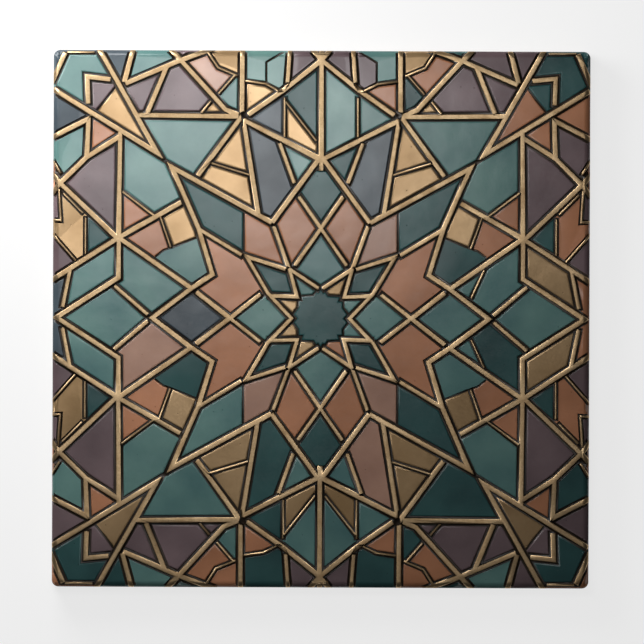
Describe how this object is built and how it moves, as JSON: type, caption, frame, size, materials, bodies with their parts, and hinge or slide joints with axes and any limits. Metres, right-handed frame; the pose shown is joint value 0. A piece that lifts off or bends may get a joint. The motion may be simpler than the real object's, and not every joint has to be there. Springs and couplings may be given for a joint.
{
  "type": "star pattern tile",
  "caption": "Square pressed wall tile with a raised interlaced star pattern on its glazed face, a cushion edge and a keyed back.",
  "frame": {"origin": "middle of the back face, at the lowest point of the tile", "axes": "+Z out of the patterned face, +X to the right and +Y up the pattern as the picture shows it"},
  "size_m": [0.108, 0.108, 0.0065],
  "materials": {
    "glaze": "gloss"
  },
  "bodies": {
    "root": {"star_tile": "glaze"}
  },
  "joints": []
}
